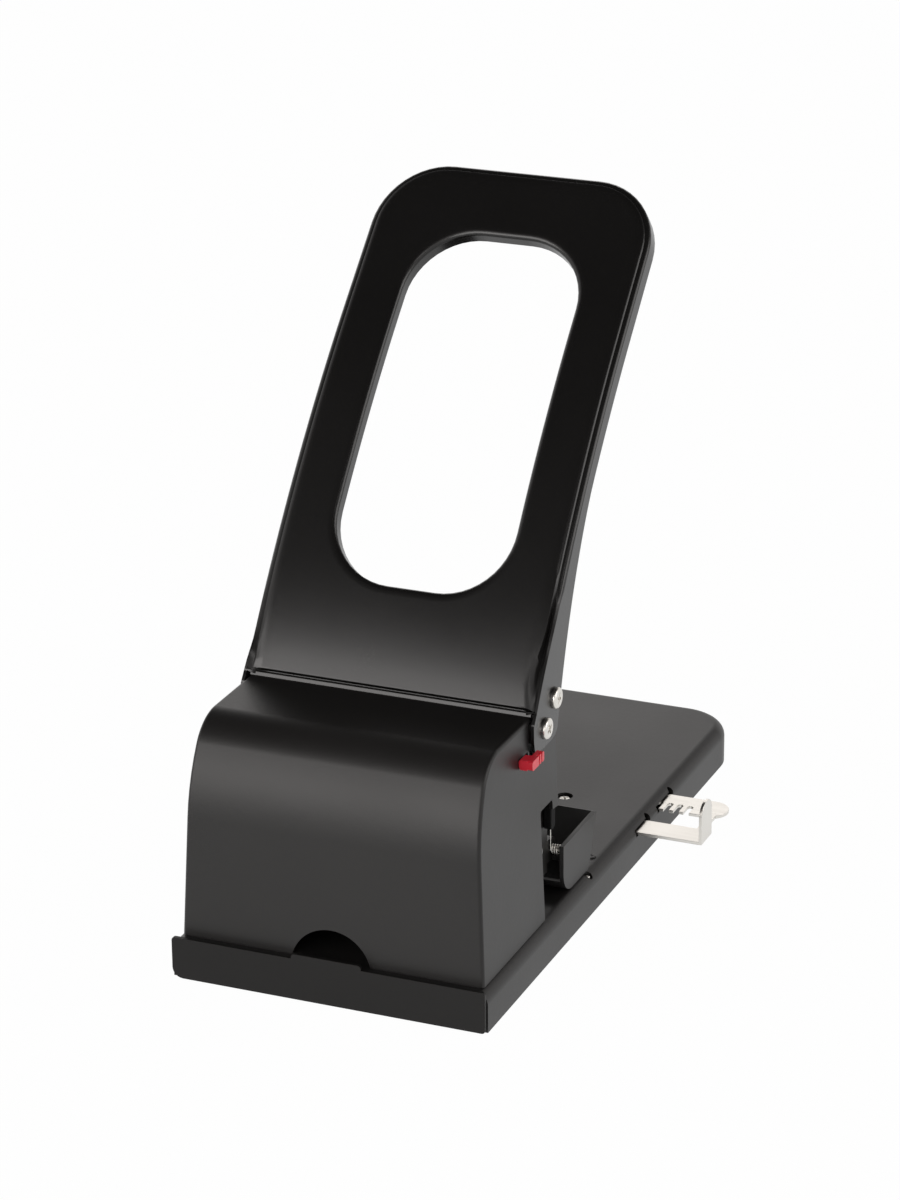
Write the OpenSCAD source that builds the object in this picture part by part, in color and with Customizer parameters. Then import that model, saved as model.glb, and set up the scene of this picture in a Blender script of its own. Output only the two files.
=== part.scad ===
// Heavy duty two-hole paper punch with a long lever, at real size in millimetres.
// It stands on its feet on the XY plane, with the origin under the middle of the base.
// +X is the paper guide's side and +Y is the side that the paper comes in from.

/* [Base] */
// Width of the base shell
base_w = 125.8; // [122:0.2:140]
// Length of the base shell
base_l = 278.4; // [270:0.2:310]
// Height of the paper table above the desk
base_top = 17.7; // [17:0.1:22]
// Plan radius of the two front corners
base_corner = 21; // [12:0.5:30]
// Radius of the base's rounded top edge
base_edge = 5; // [3:0.1:6]
// Thickness of the base's pressed sheet
base_sheet = 1.5; // [1:0.1:2]
// Height of the base's lower rim above the desk
rim_z = 1.7; // [1:0.1:2.5]
// Thickness of the closing plate under the base
bottom_t = 1.2; // [0.8:0.1:1.6]
// Diameter of a rubber foot
foot_d = 16; // [10:0.5:20]
// Distance of the feet from the base's long sides
foot_inset = 13; // [10:0.5:18]
// Distance of the rear feet from the rear
foot_rear = 15; // [12:0.5:24]
// Distance of the front feet from the front edge
foot_front = 24; // [20:0.5:40]

/* [Housing] */
// Width of the housing cover at its foot
cover_w = 120.4; // [116:0.2:121]
// How far each side of the cover leans in over its height
cover_draft = 3.6; // [2:0.1:4.5]
// Height of the cover's flat top above the desk
cover_top = 101; // [96:0.5:110]
// Distance from the rear of the part to the cover's rear wall
cover_back = 4.8; // [3:0.1:8]
// Depth of the cover along its foot
cover_d = 78.4; // [76:0.2:84]
// How far the rear wall leans forward
cover_lean = 3.6; // [0:0.1:6]
// Radius of the bend between the rear wall and the top
cover_round = 20; // [12:0.5:26]
// Thickness of the cover's sheet
cover_sheet = 1.5; // [1:0.1:1.8]
// Depth of the cover's flat top in front of the bend
top_d = 33.4; // [30:0.2:36]
// Radius of the finger notch over the tray tab
notch_r = 14.6; // [10:0.2:18]

/* [Punch] */
// Distance between the two punched holes
hole_pitch = 80; // [70:0.5:84]
// Diameter of a punched hole
hole_d = 5.5; // [5:0.1:6.5]
// Distance from the hole centres to the paper's edge
hole_margin = 12; // [11:0.1:13]
// Height of the gap that takes the paper
paper_gap = 10.5; // [9:0.1:11]
// Distance from the rear of the part to the row of holes
punch_y = 78.2; // [78:0.1:79]
// Height of the block that guides the pins
block_h = 17.8; // [14:0.1:20]
// Room between a side plate and the cover at the pivot's height
side_room = 1.7; // [1.2:0.1:2]
// Thickness of a side plate
plate_t = 3; // [2:0.1:3.2]
// Height of the punch bar
beam_h = 5.7; // [5:0.1:6.2]
// Thickness of the die plate
die_t = 3.3; // [2.5:0.1:3.6]
// Wire diameter of a return spring
return_wire = 1.2; // [1:0.1:1.4]
// Number of turns of a return spring
return_turns = 11; // [8:1:13]

/* [Lever] */
// Distance from the lever's pivot to the drive shaft
arm_r = 12.8; // [12:0.1:13.2]
// Angle of that arm above the horizontal, in degrees
arm_angle = 41; // [39:0.5:43]
// Angle that the lever turns through, in degrees
lever_turn = 58; // [50:0.5:58]
// Depth of the pivot below the cover's top
pivot_drop = 7; // [6:0.1:8]
// Diameter of the pivot shaft and the drive shaft
shaft_d = 8; // [7:0.1:8.4]
// Length of the lever along its rear face
lever_l = 214; // [200:1:230]
// Lean of the lever from the vertical at its foot, in degrees
lean_low = 31; // [29:0.5:33]
// Lean of the lever at the top, in degrees
lean_high = 45.5; // [43:0.5:47]
// Length over which the lean changes
bend_l = 150; // [130:1:170]
// Depth of the lever's side flanges at the foot
flange_low = 24; // [23:0.5:26]
// Depth of the lever's side flanges along the grip
flange_top = 8.5; // [7.5:0.1:10]
// Length over which the flanges narrow
flange_l = 90; // [80:1:110]
// Thickness of the lever's pressed sheet
lever_sheet = 1.6; // [1.2:0.1:1.8]
// How far each flange leans in at the lever's top
lever_taper = 2.4; // [0:0.1:4]
// Radius of the lever's top corners
lever_corner = 28; // [18:0.5:30]
// Height of the grip opening along the lever
grip_l = 146; // [130:1:150]
// Width of the grip opening
grip_w = 75; // [66:0.5:80]
// Radius of the grip opening's corners
grip_corner = 27; // [16:0.5:30]
// Distance from the lever's foot to the grip opening
grip_start = 39; // [36:0.5:46]
// Diameter of a screw head on the lever's side
head_d = 8.4; // [8:0.1:9]

/* [Presser] */
// Depth of the paper presser from front to rear
presser_d = 35; // [30:0.5:40]
// Height of the paper presser
presser_h = 20.5; // [18:0.1:22]
// Wall of the paper presser
presser_wall = 1.6; // [1.2:0.1:2]
// Diameter of the presser's hinge pin
hinge_d = 2.4; // [2:0.1:3.2]
// Wire diameter of the presser's springs
torsion_wire = 0.5; // [0.4:0.05:0.75]

/* [Paper guide] */
// Distance from the rear of the part to the guide's near edge
guide_y = 158; // [150:0.5:165]
// Width of the guide over both prongs
guide_w = 39; // [36:0.5:42]
// Width of the near prong
near_w = 12; // [10:0.5:13]
// Width of the far prong
far_w = 14.5; // [12:0.5:15.5]
// Thickness of the guide's steel
guide_t = 1.2; // [0.8:0.1:1.3]
// How far the stop tab stands out from the base
guide_reach = 26.5; // [22.5:0.5:30]
// Length of the prongs inside the base
guide_inside = 96; // [80:1:100]
// Height of the stop tab
tab_h = 16.5; // [12:0.5:18]

/* [Chip tray] */
// Thickness of the tray's front plate
tray_plate_t = 1.5; // [1:0.1:2]
// Width of the tray's front plate
tray_plate_w = 125; // [120:0.2:126]
// Top of the tray's front plate above the desk
tray_plate_top = 18.4; // [18:0.1:20]
// Depth of the tray
tray_d = 112; // [100:1:115]
// Half width of the raised tab on the front plate
tab_half = 14; // [12:0.2:14.4]

/* [Hidden] */
$fn = 48;

// Colours of the finishes
steel_black = [0.13, 0.13, 0.13];
lever_black = [0.05, 0.05, 0.05];
plastic_black = [0.09, 0.09, 0.09];
bright_steel = [0.78, 0.77, 0.74];
grey_steel = [0.5, 0.5, 0.5];
lock_red = [0.78, 0.05, 0.09];
rubber = [0.04, 0.04, 0.04];

// Clearances
fit_gap = 0.05;   // radial, round a pin or shaft in its hole
slide_gap = 0.3;  // between faces that slide past each other
sweep_gap = 0.5;  // round pieces that swing

// Base
presser_gap = 7.8;
presser_front = punch_y + presser_gap + presser_d;
post_gap = 3;
overall_l = tray_plate_t + 0.1 + base_l;
base_rear = overall_l - base_l;
base_half = base_w / 2;
table_under = base_top - base_sheet;
floor_z = rim_z + bottom_t;
post_d = 4;
post_x = base_half - base_edge - post_d / 2;
post_rows = [24, presser_front + post_gap];
post_head_d = 4.6;
post_head_h = 1.6;
foot_x = base_half - foot_inset;
foot_stem_d = 5;

// Housing
cover_front = cover_back + cover_d;
cover_foot = base_top;
cover_h = cover_top - cover_foot;
function cover_half(z) = cover_w / 2 - cover_draft * (z - cover_foot) / cover_h;
throat_back = 65.4;
throat_top = 61;
strip_d = 5.7;
strip_z = 49;
side_notch_y = 57;

// Punch
pin_r = hole_d / 2;
block_z0 = base_top + paper_gap;
block_z1 = block_z0 + block_h;
stop_y = punch_y - hole_margin;
stop_t = 4;
block_back = 10.5;
block_screw_y = punch_y - 7;
block_screw_l = 6;
block_front = 5.6;
boss_r = 6;

// Lever and drive
pivot_z = cover_top - pivot_drop;
// Distance between the inner faces of the side plates, which stand inside the cover
plates_w = 2 * (cover_half(pivot_z) - cover_sheet - side_room - plate_t);
plate_in = plates_w / 2;
plate_out = plate_in + plate_t;
pivot_y = punch_y - arm_r * cos(arm_angle);
drive_y = punch_y;
drive_z = pivot_z + arm_r * sin(arm_angle);
stroke = arm_r * (sin(arm_angle) - sin(arm_angle - lever_turn));
shaft_r = shaft_d / 2;
drive_low = drive_z - stroke - shaft_r;
side_notch_z = drive_low - 0.8;
pressed_low = pivot_z - 16;
cheek_in = cover_half(pressed_low) + 0.35;
cheek_out = cheek_in + lever_sheet;
shaft_half = cheek_out + 0.25;
head_gap = 0.2;
head_h = 2.2;
screw_d = 4;
screw_l = 12;

// Punch bar: the drive shaft presses on its two pads
pad_gap = 0.3;
pad_top = drive_z - shaft_r - pad_gap;
pad_h = 4.2;
beam_z1 = pad_top - pad_h;
beam_z0 = beam_z1 - beam_h;
beam_y0 = pivot_y + shaft_r + sweep_gap;
beam_y1 = punch_y + 4.8;
beam_half = plate_in - sweep_gap;
pad_w = 8;
pad_x = hole_pitch / 2 - 17;
pin_head_h = 2.4;
tip_z = block_z0 + 0.4;
spring_r = pin_r + 0.65 + return_wire / 2;

// Lock: its bolt slides over or under the punch bar, so it holds the lever up or down
lock_travel = 4.5;
bolt_room = 0.7;
bolt_z1 = beam_z0 - bolt_room;
bolt_z0 = beam_z1 - stroke + bolt_room;
bolt_w = 6;
bolt_x0 = pad_x - bolt_w - 6;
bolt_tip = beam_y0 - 1;
knob_drop = 15;
knob_z0 = cover_top - knob_drop;
knob_h = 3.8;
knob_y0 = 46.8;
knob_l = 11.6;
knob_out = 3;
knob_groove = 0.9;
knob_pitch = 2.4;
shank_h = 2.6;
shank_w = 4;
bolt_y0 = knob_y0 + 0.2;

// Presser, hinged on the ears of the side plates
presser_y0 = punch_y + presser_gap;
hinge_back = 2;
hinge_y = presser_y0 + hinge_back;
hinge_z = base_top + 18.6;
presser_z0 = base_top + 0.5;
ear_r = 4.6;
coil_slack = 0.3;
coil_r = hinge_d / 2 + coil_slack + torsion_wire / 2;
coil_turns = 3.375;
coil_pitch = torsion_wire + 0.45;
coil_start = 0.5;
coil_room = coil_start + coil_pitch * coil_turns + torsion_wire / 2 + slide_gap;
presser_half = plate_out + coil_room + presser_wall;
hinge_half = presser_half - presser_wall / 2;

// Paper guide
guide_z = base_top - 4.3;
guide_gap_y0 = guide_y + near_w;
guide_gap_y1 = guide_y + guide_w - far_w;
tab_x = base_half + guide_reach;
tab_w = near_w;
tongue_out = 0;
tongue_x = tab_x + tongue_out;
cross_w = 6;
guide_inner_x = base_half - guide_inside;
keeper_t = 1.2;
keeper_z1 = guide_z - slide_gap;
keeper_screw_x = 26.3;
keeper_screw_y = guide_gap_y0 + 3.5;
recess_d = 6.6;
tooth_pitch = 4.2;
tooth_d = 3.2;

// Chip tray
tray_half = post_x - post_d / 2 - sweep_gap;
tray_wall = 1.5;
tray_z0 = floor_z + slide_gap;
tray_z1 = table_under - die_t - 1.2;
plate_z0 = rim_z + 0.3;
tab_top = tray_plate_top + 1.9;

module placed() translate([0, -overall_l / 2, 0]) children();

// A flat outline in Y and Z, drawn out from x0 to x1
module along_x(x0, x1) translate([x0, 0, 0]) rotate([90, 0, 90]) linear_extrude(x1 - x0) children();

// A flat outline in X and Z, drawn out from y0 to y1
module along_y(y0, y1) translate([0, y1, 0]) rotate([90, 0, 0]) linear_extrude(y1 - y0) children();

module rod_x(x0, x1, y, z, d) translate([x0, y, z]) rotate([0, 90, 0]) cylinder(h = x1 - x0, d = d);

module rod_y(y0, y1, x, z, d) translate([x, y1, z]) rotate([90, 0, 0]) cylinder(h = y1 - y0, d = d);

module rod_z(z0, z1, x, y, d) translate([x, y, z0]) cylinder(h = z1 - z0, d = d);

module block(x0, x1, y0, y1, z0, z1) translate([x0, y0, z0]) cube([x1 - x0, y1 - y0, z1 - z0]);

module both_sides() for (side = [0, 1]) mirror([side, 0, 0]) children();

// Outline with its two far corners rounded, centred on X
module round_front(half, y0, y1, r) {
  translate([-half, y0]) square([2 * half, y1 - r - y0]);
  translate([r - half, y0]) square([2 * (half - r), y1 - y0]);
  for (x = [r - half, half - r]) translate([x, y1 - r]) circle(r);
}

// Section of the base's wall: a quarter round at the top and a straight skirt below
module edge_section() {
  translate([0, base_top - base_edge]) intersection() {
    difference() {
      circle(base_edge);
      circle(base_edge - base_sheet);
    }
    square(base_edge);
  }
  translate([base_edge - base_sheet, rim_z]) square([base_sheet, base_top - base_edge - rim_z]);
}

// Pan screw along Z: a low domed head with a cross recess, and its shank below
module screw_z(x, y, z, shank_l, d_head, h_head, d_shank) {
  difference() {
    union() {
      rod_z(z, z + h_head * 0.6, x, y, d_head);
      rod_z(z, z + h_head, x, y, d_head * 0.72);
    }
    for (turn = [0, 90]) translate([x, y, z + h_head]) rotate(turn)
      cube([d_head * 0.5, d_head * 0.12, h_head * 0.6], center = true);
  }
  rod_z(z - shank_l, z + 0.1, x, y, d_shank);
}

// Pan screw on the right of the part, its head facing +X
module screw_x(x, y, z, shank_l, d_head, h_head, d_shank)
  translate([x, y, z]) rotate([0, 90, 0]) screw_z(0, 0, 0, shank_l, d_head, h_head, d_shank);

// A tube of six sides that follows a list of points
function unit(v) = v / norm(v);
// Least distance between two turns of a wire, measured on points that lie over half a turn apart
function least_gap(p, d) = min([for (i = [0 : len(p) - 1], j = [i + 5 : 1 : len(p) - 1]) norm(p[i] - p[j])]) - d;
function path_dir(p, i) = unit(p[min(i + 1, len(p) - 1)] - p[max(i - 1, 0)]);
module wire(p, r, up) {
  sides = 6;
  count = len(p);
  rings = [for (i = [0 : count - 1])
    let (d = path_dir(p, i), a = unit(cross(d, up)), b = cross(d, a))
    for (k = [0 : sides - 1]) p[i] + r * (cos(60 * k) * a + sin(60 * k) * b)];
  sleeve = [for (i = [0 : count - 2], k = [0 : sides - 1])
    let (k2 = (k + 1) % sides, a = i * sides + k, b = i * sides + k2)
    each [[a, b, a + sides], [b, b + sides, a + sides]]];
  last = (count - 1) * sides;
  caps = [for (k = [1 : sides - 2]) each [[0, k + 1, k], [last, last + k, last + k + 1]]];
  polyhedron(rings, concat(sleeve, caps));
}

// Base
module base_shell() color(steel_black) placed() difference() {
  union() {
    translate([0, 0, table_under]) linear_extrude(base_sheet)
      round_front(base_half - base_edge, base_rear, overall_l - base_edge, base_corner - base_edge);
    both_sides() {
      translate([base_half - base_edge, 0, 0]) along_y(base_rear, overall_l - base_corner) edge_section();
      translate([base_half - base_corner, overall_l - base_corner, 0]) rotate_extrude(angle = 90)
        translate([base_corner - base_edge, 0]) edge_section();
    }
    translate([0, overall_l - base_edge, 0]) along_x(base_corner - base_half, base_half - base_corner) edge_section();
  }
  both_sides() {
    rod_z(table_under - 1, base_top + 1, hole_pitch / 2, punch_y, 2 * (boss_r + fit_gap));
    for (y = post_rows) rod_z(table_under - 1, base_top + 1, post_x, y, 2.5 + 2 * fit_gap);
    rod_z(table_under - 1, base_top + 1, keeper_screw_x, keeper_screw_y, recess_d);
    for (y = bolt_rows) rod_z(table_under - 1, base_top + 1, bolt_x, y, screw_d + 2 * fit_gap);
    for (y = rivet_rows) rod_z(table_under - 1, base_top + 1, rivet_x, y, rivet_d + 2 * fit_gap);
  }
  for (prong = [[guide_y, guide_gap_y0], [guide_gap_y1, guide_y + guide_w]])
    block(base_half - base_edge, base_half + 1, prong[0] - 1.2, prong[1] + 1.2,
      guide_z - 0.6, guide_z + guide_t + 0.9);
}

module bottom_plate() color(steel_black) placed() difference() {
  translate([0, 0, rim_z]) linear_extrude(bottom_t)
    round_front(base_half - base_sheet - slide_gap, base_rear + 2, overall_l - base_sheet - slide_gap,
      base_corner - base_sheet);
  for (p = foot_places) rod_z(rim_z - 1, floor_z + 1, p[0], p[1], foot_stem_d + 2 * fit_gap);
}

foot_places = [for (x = [-foot_x, foot_x], y = [foot_rear, overall_l - foot_front]) [x, y]];

module rubber_feet() color(rubber) placed() for (p = foot_places) {
  rod_z(0, rim_z, p[0], p[1], foot_d);
  rod_z(rim_z - 0.1, floor_z, p[0], p[1], foot_stem_d);
}

module spacer_posts() color(grey_steel) placed() both_sides() for (y = post_rows) difference() {
  rod_z(floor_z, table_under, post_x, y, post_d);
  rod_z(table_under - 6, table_under + 1, post_x, y, 2.5 + 2 * fit_gap);
}

module post_screws() color(bright_steel) placed() both_sides() for (y = post_rows)
  screw_z(post_x, y, base_top, base_sheet + 5, post_head_d, post_head_h, 2.5);

// Housing cover: the outline of its side, in Y and Z, drawn in by a margin
module cover_side(m) {
  z1 = cover_top - m;
  r = cover_round - m;
  lean = cover_back + cover_lean;
  bend = [lean + cover_round, cover_top - cover_round];
  polygon(concat(
    [[cover_back + m, cover_foot - m]],
    [for (a = [180 : -7.5 : 90]) bend + r * [cos(a), sin(a)]],
    [[cover_front + m, z1], [cover_front + m, cover_foot - m]]
  ));
}

// The cover's section across the part, in X and Z, drawn in by a margin
module cover_section(m) polygon([
  [-cover_half(cover_foot) + m, cover_foot - m], [-cover_half(cover_top) + m, cover_top + m],
  [cover_half(cover_top) - m, cover_top + m], [cover_half(cover_foot) - m, cover_foot - m]
]);

module cover_body(m) intersection() {
  along_x(-cover_w, cover_w) cover_side(m);
  along_y(cover_back - 5, cover_front + 5) cover_section(m);
}

module cover_shell() color(steel_black) placed() difference() {
  intersection() {
    cover_body(0);
    block(-cover_w, cover_w, 0, cover_front, cover_foot, cover_top + 1);
  }
  cover_body(cover_sheet);
  // the top stops behind the lever, and the sides drop below its cheeks
  block(-cover_w, cover_w, cover_back + cover_lean + cover_round + top_d, cover_front + 5, side_notch_z, cover_top + 5);
  both_sides() block(cover_half(cover_top) - 5, cover_w, side_notch_y, cover_front + 5, side_notch_z, cover_top - cover_sheet);
  // paper throat through both sides
  along_x(-cover_w, cover_w) polygon([
    [throat_back, cover_foot - 1], [throat_back, throat_top], [cover_front - strip_d, throat_top + 1.3],
    [cover_front - strip_d, strip_z + strip_d / 2], [cover_front + 1, strip_z], [cover_front + 1, cover_foot - 1]
  ]);
  // finger notch over the tray's tab
  rod_y(cover_back - 1, cover_back + 8, 0, cover_foot, 2 * notch_r);
  // slot for the lock's shank
  block(cover_half(cover_top) - 6, cover_w, bolt_y0 - slide_gap, bolt_y0 + shank_w + lock_travel + slide_gap,
    knob_mid - shank_h / 2 - slide_gap, knob_mid + shank_h / 2 + slide_gap);
}

knob_mid = knob_z0 + knob_h / 2;

// Side plates, the frame that carries the pivot, the guide block and the presser's hinge
plate_y0 = 36;
plate_y1 = punch_y + 5.8;
plate_z1 = drive_low - 0.8;
front_half = plate_out + 2;
front_t = 1.2;
flange_w = 12;
flange_t = 2.5;
bolt_x = plate_in - flange_w / 2;
bolt_rows = [42, 56];

module side_plate() difference() {
  union() {
    along_x(plate_in, plate_out) {
      polygon([
        [plate_y0, base_top], [stop_y, base_top], [stop_y, block_z0], [plate_y1, block_z0],
        [plate_y1, plate_z1], [plate_y0, plate_z1]
      ]);
      translate([pivot_y - shaft_r - 4.2, plate_z1 - 5]) square([2 * shaft_r + 4.2 + 1.8, 13.5]);
      translate([pivot_y, pivot_z]) circle(shaft_r + 4.2);
      translate([plate_y1 - 3, hinge_z - ear_r]) square([hinge_y - plate_y1 + 3, 2 * ear_r]);
      translate([hinge_y, hinge_z]) circle(ear_r);
    }
    block(plate_in - flange_w, plate_in + 0.1, plate_y0, stop_y - stop_t - 1, base_top, base_top + flange_t);
  }
  rod_x(plate_in - 1, plate_out + 1, pivot_y, pivot_z, shaft_d + 2 * fit_gap);
  rod_x(plate_in - 1, plate_out + 1, hinge_y, hinge_z, hinge_d + 2 * fit_gap);
  for (y = bolt_rows) rod_z(base_top - 1, base_top + flange_t + 1, bolt_x, y, screw_d + 2 * fit_gap);
  for (p = block_screw_places) rod_x(plate_in - 1, plate_out + 1, p[0], p[1], screw_d + 2 * fit_gap);
}

module side_plate_left() color(steel_black) placed() mirror([1, 0, 0]) side_plate();

module side_plate_right() color(steel_black) placed() side_plate();

module front_plate() color(steel_black) placed()
  block(-front_half, front_half, plate_y1, plate_y1 + front_t, strip_z, plate_z1 - 4);

module plate_bolts() color(grey_steel) placed() both_sides() for (y = bolt_rows)
  screw_z(bolt_x, y, base_top + flange_t, flange_t + base_sheet + 1.2, 7, 2.4, screw_d);

// Punching pieces
block_screw_places = [for (z = [block_z0 + 4.5, block_z1 - 4.5]) [block_screw_y, z]];

module guide_block() color(grey_steel) placed() difference() {
  block(-plate_in, plate_in, punch_y - block_back, punch_y + block_front, block_z0, block_z1);
  both_sides() {
    rod_z(block_z0 - 1, block_z1 + 1, hole_pitch / 2, punch_y, hole_d + 2 * fit_gap);
    for (p = block_screw_places) rod_x(plate_in - block_screw_l - 1, plate_in + 1, p[0], p[1], screw_d + 2 * fit_gap);
  }
}

module block_screws() color(grey_steel) placed() both_sides() for (p = block_screw_places)
  screw_x(plate_out, p[0], p[1], plate_t + block_screw_l, 7, 2.2, screw_d);

module back_stop() color(grey_steel) placed()
  block(-plate_in, plate_in, stop_y - stop_t, stop_y, base_top, block_z0);

die_half = hole_pitch / 2 + 10;
rivet_x = 18;
rivet_d = 3;
rivet_rows = [punch_y - 4, punch_y + 4];

module die_plate() color(grey_steel) placed() difference() {
  union() {
    block(-die_half, die_half, punch_y - 8, punch_y + 8, table_under - die_t, table_under);
    both_sides() rod_z(table_under - 0.1, base_top, hole_pitch / 2, punch_y, 2 * boss_r);
  }
  both_sides() {
    rod_z(table_under - die_t - 1, base_top + 1, hole_pitch / 2, punch_y, hole_d + 2 * fit_gap);
    for (y = rivet_rows) rod_z(table_under - die_t - 1, base_top, rivet_x, y, rivet_d + 2 * fit_gap);
  }
}

module die_rivets() color(grey_steel) placed() both_sides() for (y = rivet_rows)
  rod_z(table_under - die_t, base_top, rivet_x, y, rivet_d);

module punch_bar() color(grey_steel) placed() difference() {
  union() {
    block(-beam_half, beam_half, beam_y0, beam_y1, beam_z0, beam_z1);
    both_sides() block(pad_x, pad_x + pad_w, beam_y0, beam_y1, beam_z1 - 0.1, pad_top);
  }
  both_sides() rod_z(beam_z0 - 1, beam_z1 + 1, hole_pitch / 2, punch_y, hole_d + 2 * fit_gap);
}

// Punch pin: a ground rod with a head that sits on the bar, its tip hollow ground
module punch_pin(x) color(bright_steel) placed() difference() {
  union() {
    rod_z(tip_z, beam_z1 + 0.1, x, punch_y, hole_d);
    rod_z(beam_z1, beam_z1 + pin_head_h, x, punch_y, hole_d + 2.4);
  }
  translate([x, punch_y - hole_d, tip_z - hole_d * 0.66]) rotate([-90, 0, 0]) cylinder(h = 2 * hole_d, d = hole_d * 1.7);
}

module punch_pin_left() punch_pin(-hole_pitch / 2);

module punch_pin_right() punch_pin(hole_pitch / 2);

// Return spring between the guide block and the punch bar
spring_z0 = block_z1 + return_wire / 2 + 0.05;
spring_z1 = beam_z0 - return_wire / 2 - 0.05;
function spring_points(x) = [for (i = [0 : 8 * return_turns]) let (a = 45 * i)
  [x + spring_r * cos(a), punch_y + spring_r * sin(a), spring_z0 + (spring_z1 - spring_z0) * i / (8 * return_turns)]];
echo(return_spring_gap = least_gap(spring_points(0), return_wire));

module return_spring(x) color(bright_steel) placed() wire(spring_points(x), return_wire / 2, [0, 0, 1]);

module return_spring_left() return_spring(-hole_pitch / 2);

module return_spring_right() return_spring(hole_pitch / 2);

// Shafts and their screws
module tapped_shaft(y, z) difference() {
  rod_x(-shaft_half, shaft_half, y, z, shaft_d);
  both_sides() rod_x(shaft_half - screw_l - 1, shaft_half + 1, y, z, screw_d + 2 * fit_gap);
}

module side_screws(y, z) both_sides() screw_x(shaft_half, y, z, screw_l, head_d, head_h, screw_d);

module pivot_shaft() color(grey_steel) placed() tapped_shaft(pivot_y, pivot_z);

module pivot_screws() color(bright_steel) placed() side_screws(pivot_y, pivot_z);

module pivot_bushes() color(grey_steel) placed() both_sides() difference() {
  rod_x(plate_out, cheek_in - head_gap, pivot_y, pivot_z, shaft_d + 5);
  rod_x(plate_out - 1, cheek_in + 1, pivot_y, pivot_z, shaft_d + 2 * fit_gap);
}

module drive_shaft() color(grey_steel) placed() tapped_shaft(drive_y, drive_z);

module drive_screws() color(bright_steel) placed() side_screws(drive_y, drive_z);

// Lever: its rear face is one curve whose lean grows from the foot to the grip
lever_steps = 40;
lever_ds = lever_l / lever_steps;
lever_foot = [pivot_y - 8, pivot_z + 9];
function lean(s) = lean_low + (lean_high - lean_low) * min(1, s / bend_l);
function rear_point(i) = i == 0 ? lever_foot
  : rear_point(i - 1) + lever_ds * [sin(lean((i - 0.5) * lever_ds)), cos(lean((i - 0.5) * lever_ds))];
function inward(i) = [cos(lean(i * lever_ds)), -sin(lean(i * lever_ds))];
function flange(i) = flange_top + (flange_low - flange_top) * pow(max(0, 1 - i * lever_ds / flange_l), 1.5);
rear_line = [for (i = [0 : lever_steps]) rear_point(i)];
function offset_line(d) = [for (i = [0 : lever_steps]) rear_line[i] + d * inward(i)];
flange_line = [for (i = [lever_steps : -1 : 0]) rear_line[i] + flange(i) * inward(i)];

// A curved sheet that follows the rear face between two depths, from one step of the lever to another
module lever_sheet_part(d0, d1, first, last) {
  outer = offset_line(d0);
  inner = offset_line(d1);
  along_x(-cheek_out, cheek_out) polygon(concat(
    [for (i = [first : last]) outer[i]], [for (i = [last : -1 : first]) inner[i]]));
}

// Side flange with its foot round the pivot
module cheek() along_x(cheek_in, cheek_out) polygon(concat(
  rear_line, flange_line,
  [[pivot_y + 7.5, pivot_z - 7], [pivot_y - 8.5, pivot_z - 7.2], [pivot_y - 11, pivot_z - 5],
   [pivot_y - 11.3, pivot_z + 4]]
));

// The plane of the lever's grip, used to cut its outline and its opening
grip_first = round(grip_start / lever_ds);
grip_last = round((grip_start + grip_l) / lever_ds);
grip_dir = unit(rear_line[grip_last] - rear_line[grip_first]);
grip_lean = atan2(grip_dir[0], grip_dir[1]);
lever_top = norm(rear_line[lever_steps] - rear_line[grip_first]);

// Things drawn here lie flat in the grip plane: X across, Y up the lever, Z out of its rear face
module in_grip_plane() translate([0, rear_line[grip_first][0], rear_line[grip_first][1]])
  rotate([90 - grip_lean, 0, 0]) children();

module round_box(half, y0, y1, r) {
  translate([-half, y0 + r]) square([2 * half, y1 - y0 - 2 * r]);
  translate([r - half, y0]) square([2 * (half - r), y1 - y0]);
  for (x = [r - half, half - r], y = [y0 + r, y1 - r]) translate([x, y]) circle(r);
}

grip_span = norm(rear_line[grip_last] - rear_line[grip_first]);
module grip_opening(grow) translate([0, 0, -30]) linear_extrude(60)
  round_box(grip_w / 2 + grow, -grow, grip_span + grow, grip_corner + grow);

lever_reach = 120;
taper_angle = atan(lever_taper / (rear_line[lever_steps][1] - pivot_z));
// Outline of the lever seen square to its grip, with round top corners and sides that lean in
module lever_outline(inset) {
  half_top = cheek_out - lever_taper - inset;
  half_low = cheek_out + lever_taper * 0.3 - inset;
  r = lever_corner - inset;
  translate([0, 0, -80]) linear_extrude(160) {
    polygon([[-half_low, -lever_reach], [half_low, -lever_reach], [half_top, lever_top - inset - r],
      [-half_top, lever_top - inset - r]]);
    round_front(half_top, 0, lever_top - inset, r);
  }
}

module lean_in() translate([cheek_in, 0, pivot_z]) rotate([0, -taper_angle, 0]) translate([-cheek_in, 0, -pivot_z]) children();

web_d = 3.4;
rim_wall = 1.6;

module lever_frame() color(lever_black) placed() difference() {
  intersection() {
    union() {
      both_sides() lean_in() cheek();
      lever_sheet_part(face_t + 0.2, web_d, 1, lever_steps);
      intersection() {
        lever_sheet_part(face_t + 0.2, flange_top, grip_first - 4, lever_steps);
        in_grip_plane() difference() {
          grip_opening(rim_wall);
          grip_opening(0);
        }
      }
    }
    in_grip_plane() lever_outline(0);
  }
  in_grip_plane() grip_opening(0);
  both_sides() {
    rod_x(cheek_in - 2, cheek_out + 2, pivot_y, pivot_z, shaft_d + 2 * fit_gap);
    rod_x(cheek_in - 2, cheek_out + 2, drive_y, drive_z, shaft_d + 2 * fit_gap);
  }
}

// Glossy face panel that lies on the lever's web between its flanges
face_t = 1.6;
module handle_face() color(lever_black) placed() difference() {
  intersection() {
    lever_sheet_part(0, face_t, 0, lever_steps);
    in_grip_plane() lever_outline(lever_sheet + slide_gap);
  }
  in_grip_plane() grip_opening(0);
}

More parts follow.
